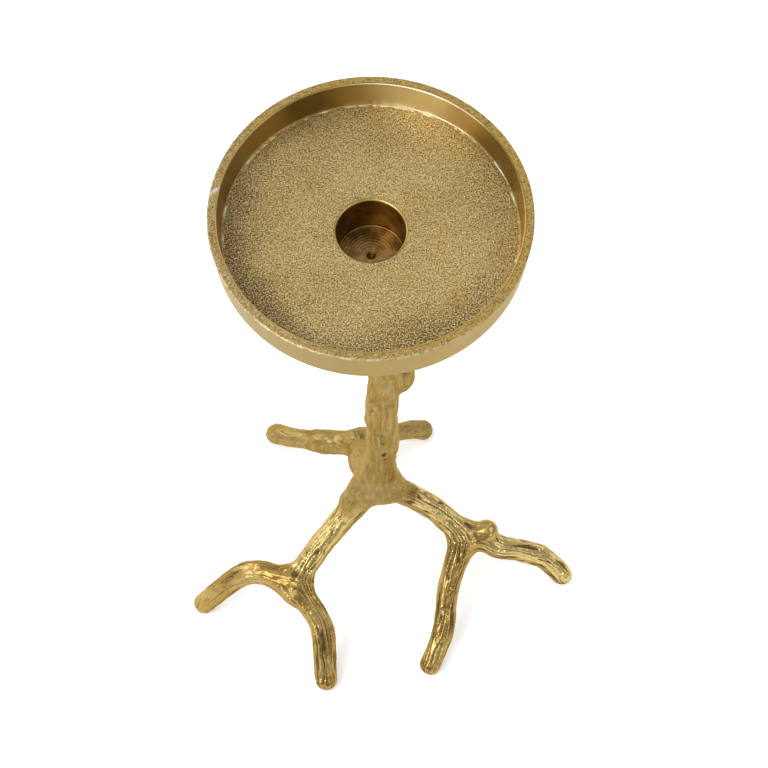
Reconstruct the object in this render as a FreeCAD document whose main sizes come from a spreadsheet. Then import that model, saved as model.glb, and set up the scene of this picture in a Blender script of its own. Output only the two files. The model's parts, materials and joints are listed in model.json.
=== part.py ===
import FreeCAD, Part
import os
import Sketcher

# Pillar candle holder: a turned dish with a taper socket, screwed onto a cast twig-shaped trunk that
# stands on three forked branch legs. Each leg is a casting of its own, coped to the hub at the foot of
# the trunk, located by a round spigot and welded there.
#
# Everything is modelled about the dish's axis, with the floor at Z = 0, in millimetres. The dish doesn't
# stand over the middle of its feet, so each sub-part's Placement then moves that axis to axis_x, axis_y,
# which puts the frame's origin under the middle of the whole object.

doc = FreeCAD.newDocument("BranchCandleHolder")
sizes = doc.addObject("Spreadsheet::Sheet", "Sizes")


# ---------------------------------------------------------------- driving dimensions

SIZES = {
    "axis_x": -3.15,            # dish axis, from the frame's origin
    "axis_y": 5.95,
    "total_height": 270,
    # dish
    "tray_radius": 52.5,
    "rim_width": 3.2,
    "tray_height": 16,          # rim to underside
    "recess_depth": 10.5,       # rim to floor
    "floor_radius": 48.4,       # the recess wall leans out slightly from here to the rim
    "base_radius": 50.8,        # the outer wall leans in slightly, down to here
    "base_round": 3.5,
    "rim_round": 0.7,
    "floor_round": 1,
    "boss_radius": 15.5,
    "boss_length": 17,
    "boss_round": 3,
    # taper socket and its centre-drilled bottom
    "socket_radius": 11.3,
    "socket_depth": 16,
    "socket_chamfer": 0.5,
    "centre_mark_radius": 1.6,
    "centre_mark_depth": 1.2,
    # threaded stud, half of it in the dish's boss and half in the trunk
    "stud_radius": 4,
    "stud_length": 17,
    "stud_in_boss": 5,
    "stud_chamfer": 0.8,
    # branches
    "trunk_radius": 6.1,
    "leg_radius": 5.5,
    "toe_radius": 4.6,
    "hub_radius": 9.5,
    "spigot_radius": 3,
    "spigot_start": 4.5,        # from the hub's centre
    "spigot_length": 7,
    # balls that end the limbs, as shares of the limb's radius there
    "fork_fullness": 1.12,
    "tip_fullness": 1.05,
    "ball_turn": 50,            # degrees from a limb's seam to its end ball's
    # the block that the toes are ground against
    "ground_width": 300,
    "ground_thickness": 20,
}

# Centre lines. Each station is X, Y and Z, and the branch's thickness there, as a share of its own radius.
# X is to the right, Y to the back and Z up from the floor.
HUB = (2, 1, 61)

TRUNK = [
    (2, 1, 57, 1.1),
    (2.5, 0.8, 72, 0.95),
    (3, 0.4, 90, 0.97),
    (3, 0, 112, 1),
    (3.2, 0.2, 134, 1.02),
    (2.6, 0.8, 150, 0.76),
    (1.4, 1, 168, 0.78),
    (0.2, 0.9, 186, 0.86),
    (-0.4, 0.5, 204, 0.92),
    (0, 0, 222, 1.12),
    (0, 0, 237, 1.6),
]
TRUNK_STUB = [
    (4.4, -0.3, 138, 0.7),
    (8.4, -1, 147, 0.68),
    (10.8, -1.4, 162, 0.62),
]
LEFT_LEG = {
    "leg": [(2.2, 1.2, 67, 0.6), (-7.5, -5.5, 54, 0.98), (-20, -15.5, 40, 0.94), (-32, -28.5, 28, 1)],
    "side_toe": [(-32, -28.5, 28, 1.1), (-44, -25, 28, 1.05), (-55, -24, 22, 1), (-70.3, -28.3, 4, 0.95)],
    "front_toe": [(-32, -28.5, 28, 1.1), (-25, -39, 23.5, 1), (-21, -48, 16.5, 1), (-20, -61.5, 4, 0.97)],
}
RIGHT_LEG = {
    "leg": [(3, 1, 61, 1), (16, -1.3, 50, 0.93), (28, -5, 38, 0.95), (36.5, -10.5, 30, 1)],
    "front_toe": [(36.5, -10.5, 30, 1.1), (30.5, -24, 22.5, 1), (28, -39, 13, 0.95), (22, -55.5, 4, 0.95)],
    "side_toe": [(36.5, -10.5, 30, 1.1), (48, -12.5, 28, 1.05), (61, -12.2, 19, 1), (76.6, -16.6, 4, 0.95)],
}
REAR_LEG = {
    "leg": [(1, 3, 62, 0.9), (-4.6, 14, 48, 1), (-5.8, 24, 38, 0.98), (-6, 32, 30, 0.95)],
    "left_toe": [(-6, 32, 30, 1.1), (-19, 35.6, 23, 1.1), (-30, 40.5, 15, 0.86), (-41.8, 48, 4.2, 0.93)],
    "right_toe": [(-6, 32, 30, 1.1), (4, 39.4, 21, 0.95), (12, 45.4, 12.5, 0.88), (20.3, 49.8, 4, 0.93)],
}
# A round knot sits on top of the right leg's fork.
RIGHT_KNOT = (44.8, -9.2, 33.2, 1)

for row, (alias, value) in enumerate(SIZES.items(), start=1):
    sizes.set(f"A{row}", alias)
    sizes.set(f"B{row}", str(value))
    sizes.setAlias(f"B{row}", alias)
next_row = len(SIZES) + 1
doc.recompute()


def add_station(name, station):
    """Give a station's place and thickness cells of their own, named after it."""
    global next_row
    for label, value in zip(("x", "y", "z", "swell"), station):
        alias = f"{name}_{label}"
        sizes.set(f"A{next_row}", alias)
        sizes.set(f"B{next_row}", str(value))
        sizes.setAlias(f"B{next_row}", alias)
        next_row += 1


def place(obj, station_name):
    """Bind an object's position to a station's cells."""
    for label in ("x", "y", "z"):
        obj.setExpression(f".Placement.Base.{label}", f"Sizes.{station_name}_{label}")


def centre(station_name):
    return FreeCAD.Vector(*[sizes.get(f"{station_name}_{label}") for label in ("x", "y", "z")])


# ---------------------------------------------------------------- shapes that the branches share

UP = FreeCAD.Vector(0, 0, 1)
RIGHT = FreeCAD.Vector(1, 0, 0)


def ball(name, station_name, radius_cells, turn=FreeCAD.Rotation()):
    sphere = doc.addObject("Part::Sphere", name)
    sphere.setExpression("Radius", radius_cells)
    sphere.Placement.Rotation = turn
    place(sphere, station_name)
    return sphere


def branch(name, stations, radius_cell, reference):
    """A round branch that runs smoothly through its stations. Each ring starts on the side that reference
    points to, so the branch doesn't twist."""
    names = [f"{name}_{number}" for number in range(1, len(stations) + 1)]
    for station_name, station in zip(names, stations):
        add_station(station_name, station)
    doc.recompute()
    middles = [centre(station) for station in names]
    rings = []
    for number, station in enumerate(names):
        before = middles[max(number - 1, 0)]
        after = middles[min(number + 1, len(middles) - 1)]
        ring = doc.addObject("Part::Circle", f"{station}_ring")
        ring.setExpression("Radius", f"Sizes.{radius_cell} * Sizes.{station}_swell")
        ring.Placement.Rotation = FreeCAD.Rotation(reference, FreeCAD.Vector(), after - before, "ZXY")
        place(ring, station)
        rings.append(ring)
    loft = doc.addObject("Part::Loft", name)
    loft.Sections = rings
    loft.Solid = True
    # A ball on the branch's end has its poles on the branch's centre line and its seam off the loft's.
    end_turn = rings[-1].Placement.Rotation.multiply(FreeCAD.Rotation(UP, sizes.ball_turn))
    return loft, names, end_turn


def fuse(name, shapes):
    fused = doc.addObject("Part::MultiFuse", name)
    fused.Shapes = shapes
    return fused


def cut(name, base, tool):
    result = doc.addObject("Part::Cut", name)
    result.Base = base
    result.Tool = tool
    return result


def finish(obj, label):
    """Name a sub-part and move it from the dish's axis to its place in the frame."""
    obj.Label = label
    obj.setExpression(".Placement.Base.x", "Sizes.axis_x")
    obj.setExpression(".Placement.Base.y", "Sizes.axis_y")
    return obj


# ---------------------------------------------------------------- dish

def circle_edges(shape, radius, height):
    """Names of the circular edges of one radius at one height."""
    found = []
    for number, edge in enumerate(shape.Edges, start=1):
        curve = edge.Curve
        if isinstance(curve, Part.Circle) and abs(curve.Radius - radius) < 0.01 \
                and abs(curve.Center.z - height) < 0.01:
            found.append(f"Edge{number}")
    return found


def total(expression):
    """The value of a sum of cells, such as Sizes.tray_radius - Sizes.rim_width."""
    value, sign = 0.0, 1
    for word in expression.split():
        if word in ("+", "-"):
            sign = 1 if word == "+" else -1
        elif word.startswith("Sizes."):
            value += sign * sizes.get(word.removeprefix("Sizes."))
    return value


def outline(sketch, corners):
    """A closed outline through corners, each given as expressions for its X and Y."""
    values = [FreeCAD.Vector(total(across), total(up), 0) for across, up in corners]
    count = len(corners)
    for number in range(count):
        sketch.addGeometry(Part.LineSegment(values[number], values[(number + 1) % count]), False)
    for number in range(count):
        sketch.addConstraint(Sketcher.Constraint("Coincident", number, 2, (number + 1) % count, 1))
    for number, (across, up) in enumerate(corners):
        for kind, expression, value in (("DistanceX", across, values[number].x),
                                        ("DistanceY", up, values[number].y)):
            if expression == "0":
                sketch.addConstraint(Sketcher.Constraint("PointOnObject", number, 1, -2))
                continue
            index = sketch.addConstraint(Sketcher.Constraint(kind, -1, 1, number, 1, value))
            sketch.setExpression(f"Constraints[{index}]", expression)


def make_tray():
    body = doc.addObject("PartDesign::Body", "TrayBody")
    profile = body.newObject("Sketcher::SketchObject", "TrayProfile")
    front_plane = [f for f in body.Origin.OriginFeatures if f.Role == "XZ_Plane"][0]
    profile.AttachmentSupport = [(front_plane, "")]
    profile.MapMode = "FlatFace"

    floor = "Sizes.total_height - Sizes.recess_depth"
    socket_bottom = f"{floor} - Sizes.socket_depth"
    underside = "Sizes.total_height - Sizes.tray_height"
    boss_foot = f"{underside} - Sizes.boss_length"
    outline(profile, [
        ("0", f"{socket_bottom} - Sizes.centre_mark_depth"),
        ("Sizes.centre_mark_radius", socket_bottom),
        ("Sizes.socket_radius", socket_bottom),
        ("Sizes.socket_radius", f"{floor} - Sizes.socket_chamfer"),
        ("Sizes.socket_radius + Sizes.socket_chamfer", floor),
        ("Sizes.floor_radius", floor),
        ("Sizes.tray_radius - Sizes.rim_width", "Sizes.total_height"),
        ("Sizes.tray_radius", "Sizes.total_height"),
        ("Sizes.base_radius", underside),
        ("Sizes.boss_radius", underside),
        ("Sizes.boss_radius", boss_foot),
        ("Sizes.stud_radius", boss_foot),
        ("Sizes.stud_radius", f"{boss_foot} + Sizes.stud_in_boss"),
        ("0", f"{boss_foot} + Sizes.stud_in_boss"),
    ])
    doc.recompute()

    turned = body.newObject("PartDesign::Revolution", "TrayTurned")
    turned.Profile = profile
    turned.ReferenceAxis = (profile, ["V_Axis"])
    turned.Angle = 360
    doc.recompute()

    rim = sizes.total_height
    base = rim - sizes.tray_height
    rounds = [
        ("RimRound", "rim_round", [(sizes.tray_radius, rim), (sizes.tray_radius - sizes.rim_width, rim)]),
        ("FloorRound", "floor_round", [(sizes.floor_radius, rim - sizes.recess_depth)]),
        ("BaseRound", "base_round", [(sizes.base_radius, base)]),
        ("BossRound", "boss_round", [(sizes.boss_radius, base)]),
    ]
    last = turned
    for name, size, edges in rounds:
        fillet = body.newObject("PartDesign::Fillet", name)
        picked = [edge for radius, height in edges for edge in circle_edges(last.Shape, radius, height)]
        fillet.Base = (last, picked)
        fillet.setExpression("Radius", f"Sizes.{size}")
        doc.recompute()
        last = fillet
    return finish(body, "candle_tray")


# ---------------------------------------------------------------- stud

def make_stud():
    rod = doc.addObject("Part::Cylinder", "StudRod")
    rod.setExpression("Radius", "Sizes.stud_radius")
    rod.setExpression("Height", "Sizes.stud_length")
    rod.setExpression(".Placement.Base.z", "Sizes.total_height - Sizes.tray_height - Sizes.boss_length"
                      " + Sizes.stud_in_boss - Sizes.stud_length")
    doc.recompute()
    stud = doc.addObject("Part::Chamfer", "StudChamfered")
    stud.Base = rod
    stud.Edges = [(number, sizes.stud_chamfer, sizes.stud_chamfer)
                  for number, edge in enumerate(rod.Shape.Edges, start=1)
                  if isinstance(edge.Curve, Part.Circle)]
    return rod, finish(stud, "tray_stud")


# ---------------------------------------------------------------- trunk and legs

def make_trunk_blank():
    """The trunk before its holes: stem, hub and the stub of a sawn side twig."""
    stem, _, _ = branch("stem", TRUNK, "trunk_radius", RIGHT)
    add_station("hub", (*HUB, 1))
    doc.recompute()
    hub = ball("hub_ball", "hub", "Sizes.hub_radius")
    stub, stub_stations, stub_turn = branch("stub", TRUNK_STUB, "trunk_radius", RIGHT)
    stub_end = ball("stub_end", stub_stations[-1],
                    f"Sizes.trunk_radius * Sizes.{stub_stations[-1]}_swell * Sizes.tip_fullness", stub_turn)
    return fuse("trunk_blank", [stem, hub, stub, stub_end])


def make_leg(label, limbs, trunk_blank, ground, knot=None):
    """A forked leg: coped to the trunk, with a spigot into its hub, and ground flat under its toes."""
    lofts, knuckles = [], []
    for limb, stations in limbs.items():
        radius_cell = "leg_radius" if limb == "leg" else "toe_radius"
        loft, names, end_turn = branch(f"{label}_{limb}", stations, radius_cell, UP)
        lofts.append(loft)
        # A ball rounds each toe's tip, and a larger one swells the fork where the limbs meet.
        fullness = "fork_fullness" if limb == "leg" else "tip_fullness"
        knuckles.append(ball(f"{label}_{limb}_end", names[-1],
                             f"Sizes.{radius_cell} * Sizes.{names[-1]}_swell * Sizes.{fullness}", end_turn))
    if knot:
        add_station(f"{label}_knot", knot)
        doc.recompute()
        knuckles.append(ball(f"{label}_knot_ball", f"{label}_knot",
                             f"Sizes.toe_radius * Sizes.{label}_knot_swell"))
    grown = fuse(f"{label}_grown", lofts + knuckles)

    hub = centre("hub")
    outward = centre(f"{label}_leg_2") - hub
    outward.normalize()
    spigot = doc.addObject("Part::Cylinder", f"{label}_spigot")
    spigot.setExpression("Radius", "Sizes.spigot_radius")
    spigot.setExpression("Height", "Sizes.spigot_length")
    spigot.Placement = FreeCAD.Placement(hub + outward * sizes.spigot_start,
                                         FreeCAD.Rotation(UP, outward))

    coped = cut(f"{label}_coped", grown, trunk_blank)
    with_spigot = fuse(f"{label}_with_spigot", [coped, spigot])
    leg = cut(f"{label}_ground", with_spigot, ground)
    return spigot, finish(leg, label)


tray = make_tray()
stud_rod, stud = make_stud()
trunk_blank = make_trunk_blank()

ground = doc.addObject("Part::Box", "Ground")
ground.setExpression("Length", "Sizes.ground_width")
ground.setExpression("Width", "Sizes.ground_width")
ground.setExpression("Height", "Sizes.ground_thickness")
ground.setExpression(".Placement.Base.x", "-Sizes.ground_width / 2")
ground.setExpression(".Placement.Base.y", "-Sizes.ground_width / 2")
ground.setExpression(".Placement.Base.z", "-Sizes.ground_thickness")
doc.recompute()

left_spigot, left_leg = make_leg("left_leg", LEFT_LEG, trunk_blank, ground)
right_spigot, right_leg = make_leg("right_leg", RIGHT_LEG, trunk_blank, ground, RIGHT_KNOT)
rear_spigot, rear_leg = make_leg("rear_leg", REAR_LEG, trunk_blank, ground)
drillings = fuse("TrunkDrillings", [left_spigot, right_spigot, rear_spigot, stud_rod])
trunk = finish(cut("TrunkDrilled", trunk_blank, drillings), "trunk")
doc.recompute()


# ---------------------------------------------------------------- checks and files

for obj in doc.Objects:
    if "Invalid" in obj.State or "Error" in obj.State:
        raise RuntimeError(f"{obj.Name} failed: {obj.State}")

os.makedirs("parts", exist_ok=True)
for part in (tray, stud, trunk, left_leg, right_leg, rear_leg):
    shape = part.Shape
    if shape.isNull() or not shape.isValid() or len(shape.Solids) != 1:
        raise RuntimeError(f"{part.Label} isn't one valid solid: {len(shape.Solids)}")
    shape.exportStep(f"parts/{part.Label}.step")
    box = shape.optimalBoundingBox()
    print(part.Label, "volume", round(shape.Volume), "X", round(box.XMin, 1), round(box.XMax, 1),
          "Y", round(box.YMin, 1), round(box.YMax, 1), "Z", round(box.ZMin, 1), round(box.ZMax, 1))
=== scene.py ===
import json
import math

import bmesh
import bpy
import numpy as np
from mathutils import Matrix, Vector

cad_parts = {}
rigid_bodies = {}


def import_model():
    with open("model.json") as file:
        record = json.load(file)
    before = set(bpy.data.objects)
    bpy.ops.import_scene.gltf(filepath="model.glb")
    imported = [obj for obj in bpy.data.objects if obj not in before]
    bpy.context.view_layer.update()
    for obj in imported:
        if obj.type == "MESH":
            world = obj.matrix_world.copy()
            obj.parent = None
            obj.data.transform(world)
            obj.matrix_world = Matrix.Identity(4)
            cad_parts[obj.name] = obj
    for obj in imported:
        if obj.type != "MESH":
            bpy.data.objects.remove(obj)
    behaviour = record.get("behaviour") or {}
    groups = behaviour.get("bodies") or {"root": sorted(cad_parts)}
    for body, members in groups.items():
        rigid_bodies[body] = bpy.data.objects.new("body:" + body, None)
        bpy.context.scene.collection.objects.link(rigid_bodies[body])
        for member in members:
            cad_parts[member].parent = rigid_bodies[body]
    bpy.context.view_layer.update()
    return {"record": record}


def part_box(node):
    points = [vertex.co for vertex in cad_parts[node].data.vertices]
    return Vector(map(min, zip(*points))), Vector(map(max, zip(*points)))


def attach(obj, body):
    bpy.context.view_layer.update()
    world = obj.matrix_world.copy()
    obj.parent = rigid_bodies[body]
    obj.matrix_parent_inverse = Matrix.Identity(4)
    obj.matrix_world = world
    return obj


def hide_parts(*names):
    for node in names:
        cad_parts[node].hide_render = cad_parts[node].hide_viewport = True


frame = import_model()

import openvdb
from mathutils import Matrix, Vector, noise

# Branch-footed pillar candle holder: a dish with cast grain on its floor and rim, on a twig-shaped trunk
# with three forked branch legs. The branches are one smooth skin grown round their centre lines, with bark
# relief that runs along each branch, cut into the same four castings as the CAD model. Lengths are in mm
# from the dish's axis unless a comment says otherwise, and become metres where a mesh is made.

MM = 0.001
MOUNTS = {mount["name"]: mount for mount in frame["record"]["mounts"]}
AXIS = Vector(MOUNTS["taper_socket"]["pos_m"][:2])         # the dish's axis in the frame
TRAY_LOW, TRAY_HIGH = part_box("candle_tray")
TOP = TRAY_HIGH.z


def smoothstep(low, high, value):
    share = np.clip((value - low) / (high - low), 0, 1)
    return share * share * (3 - 2 * share)


def noise_at(points, size, seed=0.0):
    """Gradient noise, about -1 to 1, at an array of points, with features of about the given size."""
    shift = Vector((seed * 17.3, seed * -9.1, seed * 5.7))
    return np.array([noise.noise(Vector(point) / size + shift) for point in points]) * 1.6


# ---------------------------------------------------------------- centre lines of the branches

# Each point is X to the right, Y to the back and Z up, in mm from the dish's axis at floor level, then the
# branch's radius there.
BRANCHES = {
    "trunk": [
        (2.0, 1.0, 58, 6.6), (2.3, 0.9, 66, 5.8), (2.6, 0.8, 76, 5.6), (3.0, 0.4, 88, 5.8),
        (3.2, 0.2, 96, 6.1), (3.0, 0.0, 112, 6.0), (2.9, 0.0, 124, 6.1), (3.2, 0.2, 134, 6.2),
        (3.3, 0.5, 142, 5.6), (2.6, 0.8, 150, 4.6), (2.0, 1.0, 158, 4.5), (1.2, 1.0, 170, 4.9),
        (0.2, 0.9, 186, 5.3), (-0.4, 0.5, 204, 5.7), (0.0, 0.0, 220, 6.6), (0.0, 0.0, 231, 8.4),
        (0.0, 0.0, 237, 9.9),
    ],
    "stub": [(4.6, -0.4, 143, 3.7), (8.0, -1.0, 149.5, 4.0), (10.5, -1.3, 155, 4.2), (11.2, -1.4, 163, 3.8)],
    "left_leg": [
        (2.2, 1.2, 72, 4.6), (-2.5, -2.0, 61, 5.4), (-7.8, -5.8, 53, 5.1), (-14.0, -10.6, 46, 4.85),
        (-20.0, -15.3, 40, 4.7), (-25.0, -20.0, 35, 4.65), (-29.0, -24.6, 31, 4.8), (-32.0, -28.5, 28, 5.2),
    ],
    "left_flare": [(0.6, -0.4, 86, 3.8), (-1.8, -1.0, 76, 3.6), (-5.0, -2.4, 66, 3.8), (-9.5, -5.6, 56, 4.2)],
    "left_side_toe": [
        (-32.0, -28.5, 28, 5.2), (-39.5, -26.8, 28.4, 5.0), (-45.0, -24.8, 28.2, 4.9),
        (-50.5, -23.8, 26.6, 4.7), (-54.5, -24.0, 23.6, 4.6), (-60.0, -25.4, 17.8, 4.5),
        (-65.2, -26.9, 11.0, 4.4), (-70.3, -28.3, 4.0, 4.1),
    ],
    "left_front_toe": [
        (-32.0, -28.5, 28, 5.2), (-29.2, -33.6, 26.4, 5.0), (-25.8, -38.0, 24.2, 4.8),
        (-22.4, -43.0, 21.2, 4.8), (-20.8, -47.8, 17.0, 4.8), (-20.6, -54.5, 10.2, 4.6),
        (-20.2, -61.4, 4.0, 4.5),
    ],
    "left_web": [(-36.0, -28.8, 27.4, 4.4), (-32.3, -32.0, 26.4, 4.6)],
    "right_leg": [
        (2.5, 1.0, 60, 5.6), (6.5, -0.6, 57, 5.2), (11.5, -0.9, 53, 5.0), (17.0, -1.8, 48.5, 4.8),
        (22.2, -3.2, 44, 4.7), (27.2, -5.0, 39, 4.8), (31.4, -7.2, 35, 5.0), (36.0, -10.2, 30.4, 5.3),
    ],
    "right_front_toe": [
        (36.0, -10.2, 30.4, 5.2), (33.2, -18.0, 26.4, 4.9), (30.8, -24.2, 23.0, 4.6),
        (29.0, -30.2, 19.0, 4.5), (28.2, -36.4, 14.8, 4.3), (27.3, -42.4, 11.0, 4.4),
        (25.4, -47.8, 7.6, 4.3), (22.0, -55.2, 4.0, 4.2),
    ],
    "right_side_toe": [
        (36.0, -10.2, 30.4, 4.8), (43.0, -10.9, 29.8, 4.7), (48.4, -13.2, 27.4, 4.8),
        (55.0, -13.0, 23.4, 4.6), (61.0, -12.3, 19.0, 4.5), (66.6, -12.3, 14.6, 4.4),
        (71.6, -13.6, 9.6, 4.3), (76.6, -16.4, 4.0, 4.1),
    ],
    "right_knot": [(42.6, -9.8, 31.0, 4.5), (44.7, -9.3, 33.2, 4.5)],
    "rear_leg": [
        (1.2, 3.0, 64, 5.0), (-2.6, 8.0, 55, 5.6), (-4.7, 14.0, 48, 5.6), (-5.5, 20.0, 42, 5.3),
        (-5.9, 26.4, 35.4, 5.0), (-6.2, 31.6, 30.0, 4.8),
    ],
    "rear_left_toe": [
        (-6.2, 31.6, 30.0, 4.9), (-12.0, 33.0, 27.0, 5.0), (-18.6, 35.3, 23.4, 5.3), (-23.0, 37.2, 20.4, 4.9),
        (-28.0, 39.6, 17.0, 4.1), (-34.0, 42.6, 12.0, 4.1), (-38.8, 45.6, 8.0, 4.2), (-41.8, 48.2, 4.4, 4.4),
    ],
    "rear_right_toe": [
        (-6.2, 31.6, 30.0, 4.8), (-0.5, 36.0, 25.6, 4.4), (6.0, 40.8, 19.0, 4.0), (12.0, 45.2, 12.6, 3.9),
        (16.8, 48.2, 7.8, 4.1), (20.3, 49.8, 4.0, 4.3),
    ],
}
CASTINGS = ("trunk", "left_leg", "right_leg", "rear_leg")
HUB = np.array((2.0, 0.2, 60.2))
HUB_RADIUS = 7.8


def spline(points, step=1.5):
    """Catmull-Rom samples about one step apart, through rows of X, Y, Z and radius."""
    points = np.array(points, float)
    ends = np.vstack([2 * points[0] - points[1], points, 2 * points[-1] - points[-2]])
    rows = []
    for a, b, c, d in zip(ends, ends[1:], ends[2:], ends[3:]):
        count = max(2, round(float(np.linalg.norm((c - b)[:3])) / step))
        for t in np.arange(count) / count:
            rows.append(0.5 * (2 * b + (c - a) * t + (2 * a - 5 * b + 4 * c - d) * t ** 2
                               + (3 * b - a - 3 * c + d) * t ** 3))
    rows.append(points[-1])
    return np.array(rows)


LINES = {name: spline(points) for name, points in BRANCHES.items()}


def nearest(points, line):
    """For each point: its distance to a branch's skin, its length along the branch, and its offset from
    the centre line."""
    best = np.full(len(points), 1e9)
    along = np.zeros(len(points))
    offset = np.zeros((len(points), 3))
    start = 0.0
    for a, b in zip(line, line[1:]):
        step = b[:3] - a[:3]
        length = np.linalg.norm(step)
        share = np.clip((points - a[:3]) @ step / length ** 2, 0, 1)
        away = points - a[:3] - share[:, None] * step
        gap = np.linalg.norm(away, axis=1) - a[3] - share * (b[3] - a[3])
        closer = gap < best
        best[closer] = gap[closer]
        along[closer] = start + share[closer] * length
        offset[closer] = away[closer]
        start += length
    return best, along, offset


# ---------------------------------------------------------------- the skin of the branches

VOXEL = 0.8                     # mm, like every length from here on
REACH = 9.0                     # how far from a branch its field is worked out
MARGIN = 3.0                    # the room round the whole grid
JOIN_BLEND, KNOT_BLEND, HUB_BLEND = 4.5, 2.5, 5.0           # how widely the joins are filled in
TRUNK_TOP = max(row[2] for row in BRANCHES["trunk"])
STUD_RADIUS, STUD_CLEARANCE = 4.0, 0.3
STUD_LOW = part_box("tray_stud")[0].z / MM


def soft_union(a, b, blend):
    """The lower of two distance fields, filled in where they are within the blend of each other."""
    overlap = np.maximum(blend - np.abs(a - b), 0) / blend
    return np.minimum(a, b) - overlap ** 2 * blend / 4


def branch_field(line, low, ticks):
    """The distance to one branch's skin on a grid, worked out only near the branch."""
    shape = tuple(len(tick) for tick in ticks)
    field = np.full(shape, REACH, np.float32)
    for a, b in zip(line, line[1:]):
        room = REACH + max(a[3], b[3])
        first = np.floor((np.minimum(a, b)[:3] - room - low) / VOXEL).astype(int)
        last = np.ceil((np.maximum(a, b)[:3] + room - low) / VOXEL).astype(int) + 1
        spot = tuple(slice(max(first[k], 0), min(last[k], shape[k])) for k in range(3))
        x, y, z = np.meshgrid(*[ticks[k][spot[k]] for k in range(3)], indexing="ij")
        step = b[:3] - a[:3]
        share = np.clip(((x - a[0]) * step[0] + (y - a[1]) * step[1] + (z - a[2]) * step[2])
                        / (step @ step), 0, 1)
        gap = np.sqrt((x - a[0] - share * step[0]) ** 2 + (y - a[1] - share * step[1]) ** 2
                      + (z - a[2] - share * step[2]) ** 2) - a[3] - share * (b[3] - a[3])
        field[spot] = np.minimum(field[spot], gap)
    return field


def grow_field():
    """The distance to the branches' common skin on a grid, with the joins between branches filled in, and
    the grid's lowest corner."""
    everything = np.vstack(list(LINES.values()))
    low = everything[:, :3].min(0) - REACH - MARGIN
    shape = np.ceil((everything[:, :3].max(0) + REACH + MARGIN - low) / VOXEL).astype(int)
    ticks = [low[k] + VOXEL * np.arange(shape[k]) for k in range(3)]
    field = np.full(shape, REACH, np.float32)
    for name, line in LINES.items():
        blend = KNOT_BLEND if name == "right_knot" else JOIN_BLEND
        field = soft_union(field, branch_field(line, low, ticks), blend)
    x, y, z = np.meshgrid(*ticks, indexing="ij")
    hub = np.sqrt((x - HUB[0]) ** 2 + (y - HUB[1]) ** 2 + (z - HUB[2]) ** 2) - HUB_RADIUS
    field = soft_union(field, hub.astype(np.float32), HUB_BLEND)
    # The trunk's top is cut square, and the stud's hole goes down into it.
    field = np.maximum(field, (z - TRUNK_TOP).astype(np.float32))
    hole = np.maximum(np.hypot(x, y) - STUD_RADIUS - STUD_CLEARANCE, STUD_LOW - STUD_CLEARANCE - z)
    return np.maximum(field, -hole.astype(np.float32)), low


def skin_mesh():
    """The branches' common skin as points and four-cornered faces."""
    field, low = grow_field()
    grid = openvdb.FloatGrid(REACH)
    grid.copyFromArray(field)
    points, quads = grid.convertToQuads(isovalue=0.0)
    return np.array(points, float) * VOXEL + low, np.array(quads)


def make_mesh(name, points, faces):
    mesh = bpy.data.meshes.new(name)
    mesh.from_pydata([tuple(point) for point in points], [], [tuple(face) for face in faces])
    mesh.validate()
    mesh.update()
    return mesh


def subdivided(points, faces, levels):
    """The mesh after Catmull-Clark subdivision."""
    piece = bpy.data.objects.new("unsplit", make_mesh("unsplit", points, faces))
    bpy.context.scene.collection.objects.link(piece)
    smooth = piece.modifiers.new("smooth", "SUBSURF")
    smooth.levels = levels
    finer = bpy.data.meshes.new_from_object(piece.evaluated_get(bpy.context.evaluated_depsgraph_get()))
    bpy.data.objects.remove(piece)
    return finer


def keep_shades(mesh, shades):
    """Keep a number from 0 to 1 on each point of a mesh, for its material to read."""
    for name, values in shades.items():
        attribute = mesh.attributes.new(name, "FLOAT", "POINT")
        attribute.data.foreach_set("value", np.clip(values, 0, 1))


def mesh_points(mesh):
    values = np.empty(len(mesh.vertices) * 3)
    mesh.vertices.foreach_get("co", values)
    return values.reshape(-1, 3)


def mesh_normals(mesh):
    values = np.empty(len(mesh.vertices) * 3)
    mesh.vertices.foreach_get("normal", values)
    return values.reshape(-1, 3)


# ---------------------------------------------------------------- bark

def side_frame(line):
    """Two directions across a branch, carried along its centre line without twisting."""
    steps = np.diff(line[:, :3], axis=0)
    steps /= np.linalg.norm(steps, axis=1)[:, None]
    across = np.cross(steps[0], (0.3, 0.9, 0.2))
    frames = []
    for step in steps:
        across = across - (across @ step) * step
        across /= np.linalg.norm(across)
        frames.append((across, np.cross(step, across)))
    return frames


def bark_coordinates(points, line):
    """Points unrolled along a branch: how far across it both ways, and how far along it."""
    _, along, offset = nearest(points, line)
    starts = np.concatenate([[0], np.cumsum(np.linalg.norm(np.diff(line[:, :3], axis=0), axis=1))])
    which = np.clip(np.searchsorted(starts, along, side="right") - 1, 0, len(line) - 2)
    frames = side_frame(line)
    first = np.array([frame_[0] for frame_ in frames])[which]
    second = np.array([frame_[1] for frame_ in frames])[which]
    return np.stack([(offset * first).sum(1), (offset * second).sum(1), along], axis=1)


# The finish of each branch: how deep its furrows are in mm, and how polished it is from 0 to 1.
FINISH = {
    "trunk": (0.10, 0.0), "stub": (0.07, 0.1), "left_flare": (0.05, 0.25), "left_leg": (0.22, 0.95),
    "left_side_toe": (0.17, 0.65), "left_front_toe": (0.30, 0.86), "left_web": (0.30, 0.7),
    "right_leg": (0.30, 0.96), "right_front_toe": (0.30, 0.82), "right_side_toe": (0.26, 0.98),
    "right_knot": (0.05, 0.7), "rear_leg": (0.12, 0.2), "rear_left_toe": (0.10, 0.25),
    "rear_right_toe": (0.08, 0.2),
}
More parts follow.
